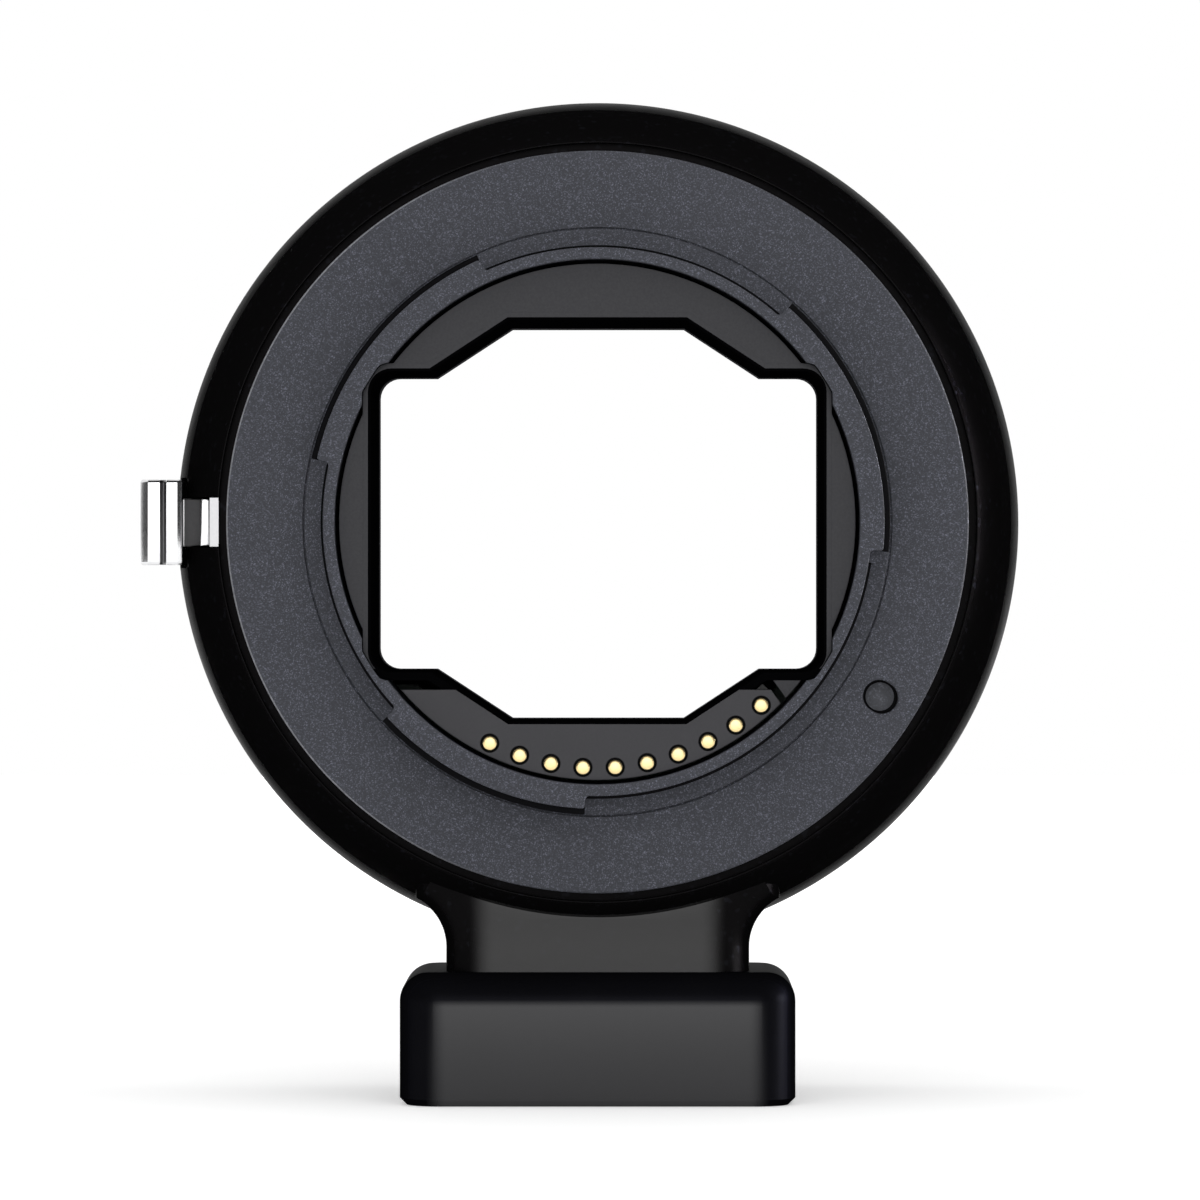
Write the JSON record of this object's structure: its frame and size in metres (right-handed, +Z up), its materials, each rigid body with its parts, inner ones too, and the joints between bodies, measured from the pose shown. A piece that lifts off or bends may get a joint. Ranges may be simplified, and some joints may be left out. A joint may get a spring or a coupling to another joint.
{
  "type": "lens mount adapter",
  "caption": "Ring-shaped adapter between a camera bayonet and a lens bayonet, with a light tunnel, contacts, a lens release lever and a tripod foot.",
  "frame": {"origin": "on the optical axis, in the plane of the flange face that meets the camera", "axes": "-Y points out of the camera side along the optical axis, +Y out of the lens side, +Z up and away from the foot"},
  "size_m": [0.0702, 0.0315, 0.0801],
  "materials": {
    "barrel_black": "deep glossy black enamel on metal",
    "mount_dark": "satin dark grey metal plating with a fine grain",
    "foot_black": "satin black coated metal",
    "lens_ring": "fine turned bright metal",
    "baffle_black": "matte black moulded plastic",
    "contact_moulding": "dark grey moulded plastic",
    "contact_gold": "bright gold plating",
    "bright_chrome": "polished chrome plating",
    "spring_steel": "plain spring steel",
    "guide_steel": "plain sheet steel",
    "screw_steel": "dark plated steel",
    "bush_steel": "turned stainless steel",
    "board": "green laminate",
    "chips": "black moulded chips",
    "ribbon": "amber flexible laminate",
    "index_red": "gloss red paint",
    "index_white": "gloss white paint"
  },
  "bodies": {
    "body": {"baffle": "baffle_black", "baffle_screws": "screw_steel", "barrel": "barrel_black", "bayonet_spring": "spring_steel", "board_components": "chips", "board_screws": "screw_steel", "camera_index_dot": "index_white", "circuit_board": "board", "foot": "foot_black", "foot_screws": "screw_steel", "front_block_screws": "screw_steel", "front_contact_block": "contact_moulding", "front_flex": "ribbon", "lens_index_dot": "index_red", "lens_mount": "lens_ring", "lens_mount_screws": "screw_steel", "lever_guide": "guide_steel", "lever_guide_screws": "screw_steel", "lock_pin_spring": "spring_steel", "pin_spring_1": "spring_steel", "pin_spring_2": "spring_steel", "pin_spring_3": "spring_steel", "pin_spring_4": "spring_steel", "pin_spring_5": "spring_steel", "pin_spring_6": "spring_steel", "pin_spring_7": "spring_steel", "pin_spring_8": "spring_steel", "rear_contact_01": "contact_gold", "rear_contact_02": "contact_gold", "rear_contact_03": "contact_gold", "rear_contact_04": "contact_gold", "rear_contact_05": "contact_gold", "rear_contact_06": "contact_gold", "rear_contact_07": "contact_gold", "rear_contact_08": "contact_gold", "rear_contact_09": "contact_gold", "rear_contact_10": "contact_gold", "rear_contact_block": "contact_moulding", "rear_flex": "ribbon", "rear_mount": "mount_dark", "rear_mount_screws": "screw_steel", "tripod_bush": "bush_steel"},
    "release": {"release_lever": "bright_chrome", "lock_pin": "bright_chrome"},
    "contact_1": {"lens_pin_1": "contact_gold"},
    "contact_2": {"lens_pin_2": "contact_gold"},
    "contact_3": {"lens_pin_3": "contact_gold"},
    "contact_4": {"lens_pin_4": "contact_gold"},
    "contact_5": {"lens_pin_5": "contact_gold"},
    "contact_6": {"lens_pin_6": "contact_gold"},
    "contact_7": {"lens_pin_7": "contact_gold"},
    "contact_8": {"lens_pin_8": "contact_gold"}
  },
  "joints": [
    {"name": "release_slide", "type": "slide", "parent": "body", "child": "release", "axis": [0, -1, 0], "range_m": [0, 0.0026], "stiffness_N_per_m": 350, "springref_m": -0.002, "deforming": ["lock_pin_spring"]},
    {"name": "contact_1_press", "type": "slide", "parent": "body", "child": "contact_1", "axis": [0, -1, 0], "range_m": [0, 0.001], "stiffness_N_per_m": 150, "springref_m": -0.0005, "deforming": ["pin_spring_1"]},
    {"name": "contact_2_press", "type": "slide", "parent": "body", "child": "contact_2", "axis": [0, -1, 0], "range_m": [0, 0.001], "stiffness_N_per_m": 150, "springref_m": -0.0005, "deforming": ["pin_spring_2"]},
    {"name": "contact_3_press", "type": "slide", "parent": "body", "child": "contact_3", "axis": [0, -1, 0], "range_m": [0, 0.001], "stiffness_N_per_m": 150, "springref_m": -0.0005, "deforming": ["pin_spring_3"]},
    {"name": "contact_4_press", "type": "slide", "parent": "body", "child": "contact_4", "axis": [0, -1, 0], "range_m": [0, 0.001], "stiffness_N_per_m": 150, "springref_m": -0.0005, "deforming": ["pin_spring_4"]},
    {"name": "contact_5_press", "type": "slide", "parent": "body", "child": "contact_5", "axis": [0, -1, 0], "range_m": [0, 0.001], "stiffness_N_per_m": 150, "springref_m": -0.0005, "deforming": ["pin_spring_5"]},
    {"name": "contact_6_press", "type": "slide", "parent": "body", "child": "contact_6", "axis": [0, -1, 0], "range_m": [0, 0.001], "stiffness_N_per_m": 150, "springref_m": -0.0005, "deforming": ["pin_spring_6"]},
    {"name": "contact_7_press", "type": "slide", "parent": "body", "child": "contact_7", "axis": [0, -1, 0], "range_m": [0, 0.001], "stiffness_N_per_m": 150, "springref_m": -0.0005, "deforming": ["pin_spring_7"]},
    {"name": "contact_8_press", "type": "slide", "parent": "body", "child": "contact_8", "axis": [0, -1, 0], "range_m": [0, 0.001], "stiffness_N_per_m": 150, "springref_m": -0.0005, "deforming": ["pin_spring_8"]}
  ]
}
